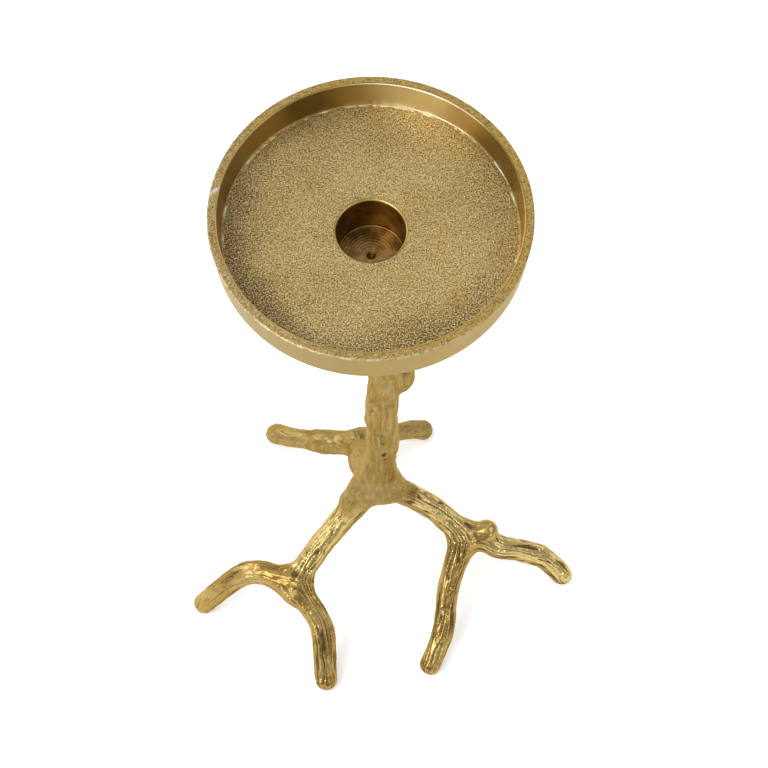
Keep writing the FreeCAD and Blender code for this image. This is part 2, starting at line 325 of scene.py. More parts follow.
# The furrows run on from one branch to the next along these runs.
RUNS = [
    ("trunk",), ("stub",), ("left_leg", "left_front_toe"), ("left_side_toe",),
    ("right_leg", "right_front_toe"), ("right_side_toe",), ("rear_leg", "rear_left_toe"), ("rear_right_toe",),
]
BARK_RADIUS = 4.8               # the size of branch that the bark's pattern is laid out on
FURROW_SPACING = 2.4
CREASE_WIDTH = 0.13             # as a share of the spacing
STRETCH = 7.0                   # how much longer the pattern is along a branch than across it
FADE = 0.9                      # how widely one branch's bark fades into the next
LEAST_WEIGHT = 0.02
FACET_HEIGHT = 0.11
# Small casting pits on the front of the trunk: place and radius.
PITS = [
    ((3.6, -5.9, 98.0), 0.95), ((4.4, -5.9, 99.2), 0.85), ((4.3, -5.8, 94.0), 0.85), ((4.0, -5.7, 91), 0.5),
]
# Small swellings: place, radius and height.
BUMPS = [
    ((-19.5, 33.5, 28.0), 2.2, 0.8), ((-15.6, 31.6, 29.6), 1.6, 0.5), ((-24.5, 36.0, 24.0), 1.8, 0.5),
    ((-46.0, -26.0, 33.0), 2.4, 0.6), ((-41.0, -28.0, 33.0), 2.0, 0.4), ((-60.0, -28.0, 22.0), 1.8, 0.3),
    ((-2.4, -2.0, 120.0), 3.0, 0.5), ((7.5, -3.0, 97.0), 3.5, 0.5), ((-2.5, -3.0, 100.0), 2.6, 0.45),
    ((4.0, -6.0, 168.0), 3.5, 0.8), ((-6.0, 2.0, 196.0), 3.5, 0.9), ((5.0, 5.0, 208.0), 3.0, 0.7),
]


def run_line(run):
    """The centre lines of a run's branches as one line."""
    return np.vstack([LINES[run[0]]] + [LINES[name][1:] for name in run[1:]])


def run_bark(points, line, seed):
    """The bark along one run at each point: its height, about -2 to 0.4, how deep in a furrow the point is,
    from 0 to 1, and the height of the long facets between the furrows, about -1 to 1."""
    across, up, along = bark_coordinates(points, line).T
    turn = np.arctan2(up, across)
    ring = np.stack([np.cos(turn) * BARK_RADIUS, np.sin(turn) * BARK_RADIUS, along / STRETCH], axis=1)
    # Lines side by side round the branch, which wander, start and stop.
    lines_round = round(2 * math.pi * BARK_RADIUS / FURROW_SPACING)
    wander = 1.1 * noise_at(ring, 3.2, seed) + 0.35 * noise_at(ring, 1.3, seed + 10)
    phase = turn * lines_round / (2 * math.pi) + wander
    crease = np.exp(-((phase - np.round(phase)) / CREASE_WIDTH) ** 2)
    crease *= np.clip(0.75 + 0.9 * noise_at(ring, 2.2, seed + 20), 0, 1.2)
    shallow = np.exp(-(noise_at(ring, 1.1, seed + 30) / 0.22) ** 2)
    height = -0.35 * np.cos(phase * 2 * math.pi) - crease - 0.3 * shallow
    furrow = np.clip(crease + 0.22 * shallow, 0, 1)
    return np.stack([height, furrow, noise_at(ring, 1.7, seed + 40)])


def bark(points):
    """How far the bark stands in or out at each point, and how deep in a furrow and how polished it is,
    both from 0 to 1."""
    gaps = {name: nearest(points, line)[0] for name, line in LINES.items()}
    nearest_gap = np.min(list(gaps.values()), axis=0)
    shares = {name: np.exp(-(gap - nearest_gap) / FADE) for name, gap in gaps.items()}
    whole = sum(shares.values())
    depth = sum(shares[name] * FINISH[name][0] for name in LINES) / whole
    polish = sum(shares[name] * FINISH[name][1] for name in LINES) / whole
    total = np.zeros(len(points))
    pattern = np.zeros((3, len(points)))
    for number, run in enumerate(RUNS):
        line = run_line(run)
        weight = np.exp(-(nearest(points, line)[0] - nearest_gap) / FADE)
        close = weight > LEAST_WEIGHT
        total[close] += weight[close]
        pattern[:, close] += weight[close] * run_bark(points[close], line, number + 1)
    height, furrow, facet = pattern / np.maximum(total, LEAST_WEIGHT)
    # The weld round the hub was dressed smooth, and wear has rubbed the toes' tips smoother.
    dressed = smoothstep(9, 17, np.linalg.norm(points - HUB, axis=1)) * 0.92 + 0.08
    worn = 0.35 + 0.65 * smoothstep(1.0, 5.0, points[:, 2])
    lumps = noise_at(points, 9.0, 61) * 0.28 + noise_at(points, 3.5, 62) * 0.12
    dents = noise_at(points, 1.6, 63) * 0.045 + noise_at(points, 0.9, 64) * 0.02 + facet * FACET_HEIGHT
    relief = height * depth * dressed + lumps + dents * (0.2 + 0.8 * dressed * np.clip(depth / 0.25, 0, 1))
    shade = furrow * dressed * np.clip(depth / 0.28, 0, 1) ** 0.7
    return relief * worn, shade, polish * dressed


def detail(points):
    """The bark's relief with its pits and swellings, and its furrows and polish."""
    relief, furrow, polish = bark(points)
    for place, radius in PITS:
        near = np.exp(-(np.linalg.norm(points - np.array(place), axis=1) / radius) ** 2)
        relief -= near * radius * 1.1
        furrow = np.maximum(furrow, near * 1.2)
    for place, radius, height in BUMPS:
        relief += height * np.exp(-(np.linalg.norm(points - np.array(place), axis=1) / radius) ** 2)
    in_hole = (np.hypot(points[:, 0], points[:, 1]) < STUD_RADIUS + 1) & (points[:, 2] > STUD_LOW - 1)
    relief[in_hole] = 0
    return relief, {"furrow": np.clip(furrow, 0, 1), "polish": polish}


# ---------------------------------------------------------------- cutting the skin into its castings

def put_in_frame(points):
    """From mm about the dish's axis to metres in the frame."""
    return points * MM + np.array((AXIS.x, AXIS.y, 0.0))


WELD_OUTSIDE = 5.5              # from the hub's skin to the middle of each weld
CUT_REACH = 11.0                # how far from a cut's middle the skin is cut


def bark_skin():
    """The whole skin in the frame, with its bark relief, and the furrows, the polish and the undersides'
    painted shade kept on its points.
    """
    mesh = subdivided(*skin_mesh(), 1)
    points = mesh_points(mesh)
    normals = mesh_normals(mesh)
    relief, shades = detail(points)
    # Undersides get less polish and so the darker satin colour, which is painted shade; and the toes' soles
    # are flat on the floor.
    shades["polish"] *= smoothstep(-0.7, 0.35, normals[:, 2])
    points = points + normals * relief[:, None]
    points[:, 2] = np.maximum(points[:, 2], 0)
    mesh.vertices.foreach_set("co", put_in_frame(points).ravel())
    keep_shades(mesh, shades)
    return mesh


def split_along(work, place, direction, reach):
    """Cut the faces within reach of a place along a plane through it."""
    near = [face for face in work.faces if (face.calc_center_median() - place).length < reach]
    edges = {edge for face in near for edge in face.edges}
    corners = {corner for face in near for corner in face.verts}
    cut = bmesh.ops.bisect_plane(work, geom=near + list(edges) + list(corners), dist=1e-7,
                                 plane_co=place, plane_no=direction)
    seam = [part for part in cut["geom_cut"] if isinstance(part, bmesh.types.BMEdge)]
    bmesh.ops.split_edges(work, edges=seam)


def islands(work):
    """The mesh's separate parts, each as a set of corners."""
    found = []
    left = set(work.verts)
    while left:
        island, queue = set(), [left.pop()]
        while queue:
            corner = queue.pop()
            island.add(corner)
            for edge in corner.link_edges:
                other = edge.other_vert(corner)
                if other in left:
                    left.discard(other)
                    queue.append(other)
        found.append(island)
    return found


def link(name, mesh):
    piece = bpy.data.objects.new(name, mesh)
    bpy.context.scene.collection.objects.link(piece)
    return piece


def cut_castings(work):
    """Cut the skin at the welds and close the cuts with flat caps."""
    for name in CASTINGS[1:]:
        line = LINES[name]
        index = int(np.argmax(np.linalg.norm(line[:, :3] - HUB, axis=1) > HUB_RADIUS + WELD_OUTSIDE))
        direction = Vector(line[index + 1, :3] - line[index - 1, :3]).normalized()
        split_along(work, Vector(put_in_frame(line[index, :3])), direction, CUT_REACH * MM)
    seams = [edge for edge in work.edges if edge.is_boundary]
    for edge in seams:
        edge.smooth = False
    caps = bmesh.ops.holes_fill(work, edges=seams)["faces"]
    for face in work.faces:
        face.smooth = True
    for cap in caps:
        cap.smooth = False
    bmesh.ops.triangulate(work, faces=caps)


def copy_island(work, island, name):
    """One of the mesh's separate parts as a mesh of its own."""
    piece = work.copy()
    piece.verts.index_update()
    work.verts.index_update()
    keep = {corner.index for corner in island}
    others = [corner for corner in piece.verts if corner.index not in keep]
    bmesh.ops.delete(piece, geom=others, context="VERTS")
    mesh = bpy.data.meshes.new(name)
    piece.to_mesh(mesh)
    piece.free()
    return mesh


def build_branches():
    """The four castings, each one closed mesh, cut from one skin so that they meet without a step."""
    work = bmesh.new()
    work.from_mesh(bark_skin())
    cut_castings(work)
    parts = islands(work)
    centres = [sum((corner.co for corner in part), Vector()) / len(part) for part in parts]
    which = {
        "trunk": max(range(len(parts)), key=lambda k: centres[k].z),
        "left_leg": min(range(len(parts)), key=lambda k: centres[k].x),
        "right_leg": max(range(len(parts)), key=lambda k: centres[k].x),
        "rear_leg": max(range(len(parts)), key=lambda k: centres[k].y),
    }
    pieces = {name: link(name + "_bark", copy_island(work, parts[k], name + "_bark"))
              for name, k in which.items()}
    work.free()
    return pieces


# ---------------------------------------------------------------- the dish

TRAY_RADIUS = (TRAY_HIGH.x - TRAY_LOW.x) / 2 / MM           # mm, like everything below
TRAY_HEIGHT = 16.0
BASE_RADIUS, BASE_ROUND = 50.8, 3.5
RIM_WIDTH, RIM_ROUND, RIM_EDGE = 3.2, 0.4, 0.3
RECESS_DEPTH = 10.5
FLOOR_RADIUS, FLOOR_ROUND = 48.4, 0.4
SOCKET_RADIUS = MOUNTS["taper_socket"]["dims"]["r_mm"]
SOCKET_DEPTH, SOCKET_CHAMFER = 16.0, 0.5
MARK_RADIUS, MARK_DEPTH = 1.6, 1.2
BOSS_RADIUS, BOSS_ROUND = 15.5, 3.0
BOSS_LOW = (TRAY_LOW.z - TRAY_HIGH.z) / MM                  # heights are from the rim down
STUD_HOLE = 5.0
FINE = 600                      # points round the dish, with half or a quarter as many near its middle
MIDDLE = 24.0                   # where the finer rings start
CAST, TURNED, SMOOTH = 1.0, 0.5, 0.0                        # how a ring's surface was left


def arc(centre, radius, start, end, step=0.3):
    """Points r, z on an arc, its angles in degrees from outwards towards up."""
    count = max(3, math.ceil(abs(math.radians(end - start)) * radius / step))
    angles = [math.radians(start + (end - start) * k / count) for k in range(count + 1)]
    return [(centre[0] + radius * math.cos(angle), centre[1] + radius * math.sin(angle)) for angle in angles]


def walk(a, b, step):
    """Points r, z on a straight line, at most a step apart."""
    count = max(1, math.ceil(math.dist(a, b) / step))
    return [(a[0] + (b[0] - a[0]) * k / count, a[1] + (b[1] - a[1]) * k / count) for k in range(count + 1)]


def dish_rings():
    """The dish's section from the middle of its socket, over the rim and round to its boss, as rings of
    radius, height, points round and surface."""
    socket = -RECESS_DEPTH - SOCKET_DEPTH
    recess = -RECESS_DEPTH
    mouth = SOCKET_RADIUS + SOCKET_CHAMFER
    socket_edge = (SOCKET_RADIUS, recess - SOCKET_CHAMFER)
    inner_lean = (TRAY_RADIUS - RIM_WIDTH - FLOOR_RADIUS) / RECESS_DEPTH
    outer_lean = (TRAY_RADIUS - BASE_RADIUS) / TRAY_HEIGHT
    round_in = (FLOOR_RADIUS + FLOOR_ROUND * (inner_lean - 1), recess + FLOOR_ROUND)
    rim_in = (TRAY_RADIUS - RIM_WIDTH + RIM_EDGE, -RIM_EDGE)
    rim_out = (TRAY_RADIUS - RIM_ROUND, -RIM_ROUND)
    heel = (BASE_RADIUS - BASE_ROUND * (1 - outer_lean), -TRAY_HEIGHT + BASE_ROUND)
    neck = (BOSS_RADIUS + BOSS_ROUND, -TRAY_HEIGHT - BOSS_ROUND)
    stretches = [
        (walk((0.2, socket - MARK_DEPTH), (MARK_RADIUS, socket), 0.4), FINE // 4, TURNED),
        (walk((MARK_RADIUS, socket), (SOCKET_RADIUS - 0.4, socket), 0.27), FINE // 4, TURNED),
        (arc((SOCKET_RADIUS - 0.4, socket + 0.4), 0.4, -90, 0), FINE // 4, TURNED),
        (walk((SOCKET_RADIUS, socket + 0.4), socket_edge, 0.5), FINE // 4, TURNED),
        (walk(socket_edge, (mouth, recess), 0.3), FINE // 2, SMOOTH),
        (walk((mouth, recess), (MIDDLE, recess), 0.45), FINE // 2, CAST),
        (walk((MIDDLE, recess), (round_in[0], recess), 0.45), FINE, CAST),
        (arc(round_in, FLOOR_ROUND, -90, -5, 0.2), FINE, SMOOTH),
        (walk((FLOOR_RADIUS + inner_lean, recess + 1), (rim_in[0] - RIM_EDGE, -RIM_EDGE), 0.8), FINE, SMOOTH),
        (arc(rim_in, RIM_EDGE, 180, 90, 0.15), FINE, SMOOTH),
        (walk((rim_in[0], 0), (rim_out[0], 0), 0.45), FINE, CAST),
        (arc(rim_out, RIM_ROUND, 90, 0), FINE, CAST),
        (walk((TRAY_RADIUS, -RIM_ROUND), (heel[0] + BASE_ROUND, heel[1]), 0.8), FINE, SMOOTH),
        (arc(heel, BASE_ROUND, -5, -90, 0.8), FINE, SMOOTH),
        (walk((heel[0], -TRAY_HEIGHT), (neck[0], -TRAY_HEIGHT), 1.4), FINE // 2, SMOOTH),
        (arc(neck, BOSS_ROUND, 90, 180, 0.7), FINE // 2, SMOOTH),
        (walk((BOSS_RADIUS, neck[1]), (BOSS_RADIUS, BOSS_LOW + 0.6), 1.0), FINE // 4, SMOOTH),
        (walk((BOSS_RADIUS - 0.6, BOSS_LOW), (STUD_RADIUS, BOSS_LOW), 1.2), FINE // 4, TURNED),
        (walk((STUD_RADIUS, BOSS_LOW), (STUD_RADIUS, BOSS_LOW + STUD_HOLE), 1.2), FINE // 4, TURNED),
        (walk((STUD_RADIUS, BOSS_LOW + STUD_HOLE), (0.3, BOSS_LOW + STUD_HOLE), 1.2), FINE // 4, TURNED),
    ]
    rings = []
    for line, count, surface in stretches:
        for r, z in line:
            if rings and math.dist(rings[-1][:2], (r, z)) < 0.02:
                continue
            rings.append((r, z, count, surface))
    return rings


def ring_faces(rings):
    """Faces between each ring and the next, whose numbers of points are the same or differ by a factor of
    two, and a fan on the first and last ring."""
    faces = []
    starts = np.concatenate([[0], np.cumsum([ring[2] for ring in rings])]).astype(int)
    for k in range(len(rings) - 1):
        a, b, start_a, start_b = rings[k][2], rings[k + 1][2], int(starts[k]), int(starts[k + 1])
        if a == b:
            for i in range(a):
                j = (i + 1) % a
                faces.append((start_a + i, start_a + j, start_b + j, start_b + i))
            continue
        few, many, low, high = (a, b, start_a, start_b) if a < b else (b, a, start_b, start_a)
        for i in range(few):
            j = (i + 1) % few
            one, two, three = high + 2 * i, high + 2 * i + 1, high + (2 * i + 2) % many
            fan = [(low + i, two, one), (low + i, low + j, two), (low + j, three, two)]
            faces += fan if a < b else [face[::-1] for face in fan]
    faces.append(tuple(range(rings[0][2]))[::-1])
    faces.append(tuple(range(int(starts[-2]), int(starts[-1]))))
    return faces


# Knocks and casting pits in the rim: angle in degrees round from the right towards the back, then
# radius, both for the place, and the pit's radius and depth, in mm.
RIM_PITS = [(-8, 51.6, 0.7, 0.35), (-11, 50.9, 0.5, 0.3), (-17, 51.8, 0.5, 0.25), (-4, 51.9, 0.4, 0.2),
            (-24, 51.2, 0.4, 0.2), (172, 50.9, 0.5, 0.2), (58, 51.4, 0.4, 0.2), (-128, 51.6, 0.4, 0.2)]
SCRATCH = ((-50.9, 8.4), (-49.3, 9.9))                      # its ends on the rim, X and Y from the axis
SCRATCH_WIDTH, SCRATCH_DEPTH = 0.55, 0.08
BEAD_INSET, BEAD_WIDTH, BEAD_HEIGHT = 0.65, 0.30, 0.28
MARK_SPACING = 1.05             # between the tool's rings in the socket
RIM_GRAIN = 0.4                 # how much lower the cast grain is on the rim than on the floor
RIM_CAST = 0.78                 # and how much fainter its speckle is


def facing(angle, place):
    """From -1 to 1, how near an angle round the dish is to a place, both in degrees."""
    return np.cos(np.radians(angle - place))


def band(value, middle, width):
    return np.exp(-((value - middle) / width) ** 2)


def dish_bumps(points, surface, rim, r):
    """How far the cast grain and the socket's tool marks stand up, and the rim's pits and scratch go in; and
    the scratch as a shade."""
    coarse = noise_at(points, 1.5, 3)
    fine = noise_at(points, 0.85, 4)
    relief = np.where(surface == CAST, 0.045 * coarse + 0.04 * fine, 0.006 * coarse)
    relief *= np.where(rim, RIM_GRAIN, 1)
    above_socket_floor = points[:, 2] + RECESS_DEPTH + SOCKET_DEPTH
    marked = (surface == TURNED) & (above_socket_floor > -1.5) & (above_socket_floor < 0.3)
    rings = np.sin((r + 0.2 * noise_at(points, 4.0, 5)) * 2 * math.pi / MARK_SPACING)
    relief += np.where(marked, 0.03 * rings, 0)
    for place, radius, size, depth in RIM_PITS:
        middle = np.array((radius * math.cos(math.radians(place)), radius * math.sin(math.radians(place)), 0))
        relief -= depth * band(np.linalg.norm(points - middle, axis=1), 0, size)
    a, b = (np.array((x, y, 0.0)) for x, y in SCRATCH)
    share = np.clip((points - a) @ (b - a) / ((b - a) @ (b - a)), 0, 1)
    scratch = band(np.linalg.norm(points - a - share[:, None] * (b - a), axis=1), 0, SCRATCH_WIDTH)
    return relief - SCRATCH_DEPTH * scratch, scratch


def dish_edges(points, r, angle):
    """Two shades: the lumpy bead of finish in the recess's corner, most of it at the back, painted as a
    bright line, a painted highlight; and a painted highlight along the rim's outer edge, most of it at the
    front left."""
    z = points[:, 2]
    unrolled = np.stack([FLOOR_RADIUS * np.radians(angle), np.zeros(len(r)), np.zeros(len(r))], axis=1)
    waver = noise_at(unrolled, 6.0, 7)
    lumpy = noise_at(unrolled, 1.6, 8)
    in_corner = (z > -RECESS_DEPTH - 2.5) & (z < -RECESS_DEPTH + 0.4)
    bead = band(r, FLOOR_RADIUS - BEAD_INSET + 0.12 * waver, BEAD_WIDTH) * in_corner
    bead *= np.clip(0.30 + 0.6 * lumpy + 0.5 * waver + 0.4 * facing(angle, 102), 0, 1.3)
    # A painted highlight along the rim's outer edge, broken up, mostly at the front left.
    worn = band(r, TRAY_RADIUS - 0.15, 0.22) * (z > -0.5)
    worn *= 0.15 + 0.85 * smoothstep(0.2, 0.95, facing(angle, 248))
    worn *= 0.35 + 0.65 * smoothstep(-0.3, 0.6, lumpy + 0.6 * waver)
    return bead, worn


def dish_tones(points, surface, rim, r, angle):
    """Four shades: painted shade and glints along the recess's wall, warmer finish, a painted highlight on
    the recess's wall, and painted shade on the walls with the rim a little darker.
    """
    drift = noise_at(points, 11.0, 9)
    recess_floor = (surface == CAST) & ~rim
    # Painted shade darkens the floor along the recess's wall, mostly at the left and the front, where the
    # wall blocks the light; the floor is also darker round the socket.
    towards = smoothstep(-0.5, 0.6, facing(angle, 238))
    soot = smoothstep(30, 47, r + 4 * drift) * (0.15 + 0.85 * towards) * recess_floor
    soot += 0.35 * band(r, SOCKET_RADIUS, 5.0) * smoothstep(-0.2, 0.9, drift) * recess_floor
    # The finish is yellower on the rim except at the left, and in patches on the floor.
    patches = 0.35 * smoothstep(0.1, 0.8, noise_at(points, 9.0, 10)) * smoothstep(-10, 30, points[:, 0])
    warm = np.where(recess_floor, patches, smoothstep(-1.0, 0.2, facing(angle, 20) + 0.2 * drift))
    # Painted light and shade: a painted highlight on the recess's wall at the back, painted shade to both
    # sides of that and at the left, painted shade on the outer wall, and the rim a little darker.
    wall = (surface == SMOOTH) & (r > FLOOR_RADIUS - 1)
    inside = wall & (r < TRAY_RADIUS - RIM_WIDTH + 1) & (points[:, 2] > -RECESS_DEPTH - 0.5)
    turn = angle + 5 * drift
    glow = np.where(inside, band(turn, 71, 20), 0)
    shaded = 0.60 * band(turn, 116, 14) + 0.6 * band(turn, 28, 20) + 0.25 * smoothstep(120, 160, turn)
    dull = np.where(inside, shaded, np.where(wall, 0.37, 0.13 * rim))
    return soot, warm, glow, dull


def dish_relief(points, surface):
    """How far the dish's skin stands up at each point, and its shades from 0 to 1."""
    r = np.hypot(points[:, 0], points[:, 1])
    angle = np.degrees(np.arctan2(points[:, 1], points[:, 0]))
    rim = (surface == CAST) & (points[:, 2] > -RIM_ROUND - 1)
    relief, scratch = dish_bumps(points, surface, rim, r)
    bead, worn = dish_edges(points, r, angle)
    soot, warm, glow, dull = dish_tones(points, surface, rim, r, angle)
    return relief + BEAD_HEIGHT * bead, {
        "bead": bead, "scratch": scratch, "worn": worn, "soot": soot, "warm": warm, "glow": glow,
        "dull": dull, "cast": np.where(rim, RIM_CAST, surface),
    }


def build_dish():
    """The dish as one turned mesh, with its relief in the mesh and its shades on the points."""
    rings = dish_rings()
    points, surface = [], []
    for r, z, count, kind in rings:
        for k in range(count):
            turn = 2 * math.pi * k / count
            points.append((r * math.cos(turn), r * math.sin(turn), z))
            surface.append(kind)
    points, surface = np.array(points), np.array(surface)
    mesh = make_mesh("dish", points, ring_faces(rings))
    relief, shades = dish_relief(points, surface)
    points = points + mesh_normals(mesh) * relief[:, None]
    in_frame = points * MM + np.array((AXIS.x, AXIS.y, TOP))
    mesh.vertices.foreach_set("co", in_frame.ravel())
    keep_shades(mesh, shades)
    mesh.shade_smooth()
    mesh.update()
    return link("dish", mesh)


# ---------------------------------------------------------------- materials

class Nodes:
    """A few words for building a material's nodes."""

    def __init__(self, name):
        self.material = bpy.data.materials.new(name)
        self.material.use_nodes = True
        self.tree = self.material.node_tree
        self.shader = self.tree.nodes["Principled BSDF"]
        place = self.tree.nodes.new("ShaderNodeTexCoord")
        self.place = place.outputs["Object"]

    def join(self, value, socket):
        """Link a socket to another one's value, or set it to a plain value."""
        if isinstance(value, bpy.types.NodeSocket):
            self.tree.links.new(value, socket)
        else:
            socket.default_value = value

    def attribute(self, name):
        """A number kept on the mesh's points."""
        node = self.tree.nodes.new("ShaderNodeAttribute")
        node.attribute_name = name
        return node.outputs["Fac"]

    def noise(self, size, detail=2.0, roughness=0.5, distortion=0.0, stretch=None):
        """Noise from 0 to 1 with features of the given size in metres."""
        node = self.tree.nodes.new("ShaderNodeTexNoise")
        node.inputs["Scale"].default_value = 1 / size
        node.inputs["Detail"].default_value = detail
        node.inputs["Roughness"].default_value = roughness
        node.inputs["Distortion"].default_value = distortion
        place = self.place
        if stretch:
            mapping = self.tree.nodes.new("ShaderNodeMapping")
            mapping.inputs["Scale"].default_value = stretch
            self.join(place, mapping.inputs["Vector"])
            place = mapping.outputs["Vector"]
        self.join(place, node.inputs["Vector"])
        return node.outputs["Fac"]

    def math(self, operation, a, b):
        node = self.tree.nodes.new("ShaderNodeMath")
        node.operation = operation
        self.join(a, node.inputs[0])
        self.join(b, node.inputs[1])
        return node.outputs[0]

    def add(self, a, b):
        return self.math("ADD", a, b)

    def times(self, a, b):
        return self.math("MULTIPLY", a, b)

    def between(self, value, low, high, new_low=0.0, new_high=1.0):
        """A value's smooth step from low to high, as a number from new_low to new_high."""
        node = self.tree.nodes.new("ShaderNodeMapRange")
        node.interpolation_type = "SMOOTHSTEP"
        for name, number in zip(("Value", "From Min", "From Max", "To Min", "To Max"),
                                (value, low, high, new_low, new_high)):
            self.join(number, node.inputs[name])
        return node.outputs["Result"]

    def mix(self, share, a, b):
        """A colour from a, at a share of 0, to b, at 1."""
        node = self.tree.nodes.new("ShaderNodeMix")
        node.data_type = "RGBA"
        self.join(share, node.inputs[0])
        for value, socket in ((a, node.inputs[6]), (b, node.inputs[7])):
            self.join(value if isinstance(value, bpy.types.NodeSocket) else (*value, 1), socket)
        return node.outputs[2]

    def bump(self, height, strength, normal=None):
        """Bump whose height is in metres."""
        node = self.tree.nodes.new("ShaderNodeBump")
        node.inputs["Strength"].default_value = 1.0
        node.inputs["Distance"].default_value = strength
        self.join(height, node.inputs["Height"])
        if normal:
            self.join(normal, node.inputs["Normal"])
        return node.outputs["Normal"]

    def finish(self, colour, metallic, roughness, normal=None, edge=(1, 1, 1)):
        """Give the shader its inputs. The edge is the colour that a metal takes on at grazing angles."""
        self.join(colour, self.shader.inputs["Base Color"])
        self.join(metallic, self.shader.inputs["Metallic"])
        self.join(roughness, self.shader.inputs["Roughness"])
        self.join((*edge, 1), self.shader.inputs["Specular Tint"])
        if normal:
            self.join(normal, self.shader.inputs["Normal"])
        return self.material


GOLD = (0.50, 0.35, 0.125)
DEEP_GOLD = (0.36, 0.235, 0.068)
SHADED_SATIN_GOLD = (0.34, 0.245, 0.085)
SHADED_AMBER_GOLD = (0.29, 0.185, 0.052)
RUBBED_HIGHLIGHT_GOLD = (0.68, 0.51, 0.21)
PALE_GOLD = (0.76, 0.63, 0.36)
HIGHLIGHT_GOLD = (0.95, 0.84, 0.58)
TRAY_GOLD, TRAY_PALE_GOLD, TRAY_WARM_GOLD = (0.45, 0.315, 0.115), (0.50, 0.37, 0.155), (0.53, 0.365, 0.108)
WARM_FLECK, GLINT_FLECK = (0.66, 0.50, 0.18), (0.84, 0.73, 0.50)
BEAD_HIGHLIGHT = (0.90, 0.84, 0.66)
PATINA = (0.10, 0.065, 0.024)
SHADED_PIT = (0.04, 0.027, 0.013)
SOCKET_BROWN, SOCKET_DARK = (0.31, 0.19, 0.065), (0.15, 0.085, 0.028)
BARE_METAL = (0.78, 0.78, 0.80)
ZINC, PALE_ZINC = (0.42, 0.43, 0.45), (0.66, 0.66, 0.67)
PAPER, PALE_PAPER = (0.90, 0.90, 0.90), (0.92, 0.92, 0.92)
BLACK = (0.0, 0.0, 0.0)
BRANCH_EDGE, TRAY_EDGE = (0.95, 0.80, 0.50), (0.97, 0.90, 0.74)     # the metals' tint at grazing angles


def branch_gold():
    """Antique gold on bark: polished on the legs, satin on the trunk, with dark patina in the furrows. The
    darker satin colour on the undersides is painted shade, and the paler rubbed gold on the most polished
    tops is partly a painted highlight.
    """
    look = Nodes("branch_gold")
    furrow, polish = look.attribute("furrow"), look.attribute("polish")
    cloud = look.noise(0.012, 3)
    speck = look.noise(0.0011, 2, 0.6)
    streak = look.noise(0.0012, 2, 0.5, 0, (1, 1, 0.08))
    # The satin colours are darker than the polished gold, partly as painted shade on the undersides and the
    # trunk.
    satin = look.mix(look.between(cloud, 0.38, 0.62), SHADED_AMBER_GOLD, SHADED_SATIN_GOLD)
    satin = look.mix(look.between(streak, 0.40, 0.75, 0, 0.22), satin, PALE_GOLD)
    shiny = look.mix(look.between(cloud, 0.35, 0.65), DEEP_GOLD, GOLD)
    # On the most polished tops the gold turns paler: partly rubbed wear, partly a painted highlight.
    shiny = look.mix(look.between(polish, 0.86, 1.0), shiny, RUBBED_HIGHLIGHT_GOLD)
    colour = look.mix(look.between(polish, 0.1, 0.7), satin, shiny)
    colour = look.mix(look.between(speck, 0.58, 0.72, 0, 0.25), colour, PALE_GOLD)
    speckled = look.add(furrow, look.times(look.math("SUBTRACT", speck, 0.5), 0.5))
    colour = look.mix(look.between(speckled, 0.12, 0.75, 0, 0.9), colour, PATINA)
    roughness = look.between(polish, 0.0, 0.9, 0.46, 0.26)
    roughness = look.add(roughness, look.between(cloud, 0.3, 0.7, -0.03, 0.05))
    roughness = look.add(roughness, look.times(furrow, 0.2))
    dents = look.times(look.noise(0.0022, 1, 0.5), look.between(polish, 0.2, 0.9, 0.05, 1.0))
    normal = look.bump(look.noise(0.0009, 2, 0.5), 0.00005, look.bump(dents, 0.00028))
    return look.finish(colour, 1.0, roughness, normal, BRANCH_EDGE)


def tray_colour(look, cloud, warm):
    """The tray's gold where it is smooth: warmer by its tone, with a painted highlight and painted shade on
    the walls, and the rim a little darker.
    """
    smooth = look.mix(look.between(cloud, 0.35, 0.65), TRAY_GOLD, TRAY_PALE_GOLD)
    smooth = look.mix(warm, smooth, TRAY_WARM_GOLD)
    smooth = look.mix(look.attribute("glow"), smooth, HIGHLIGHT_GOLD)
    return look.mix(look.attribute("dull"), smooth, BLACK)


def grained(look, smooth, grain, soot, warm):
    """The same gold with dark pits and pale flecks in its cast grain, both stronger along the recess's wall:
    there the darker pits are painted shade and the paler flecks painted glints.
    """
    pit = look.mix(look.add(look.times(soot, 0.10), 0.90), smooth, look.mix(soot, PATINA, SHADED_PIT))
    pitted = look.mix(look.between(grain, 0.34, look.add(look.times(soot, 0.10), 0.50)), pit, smooth)
    fleck = look.mix(soot, look.mix(warm, PALE_GOLD, WARM_FLECK), GLINT_FLECK)
    flecks = look.times(look.between(grain, 0.54, 0.68), look.add(look.times(soot, 0.16), 0.74))
    return look.mix(flecks, pitted, fleck)


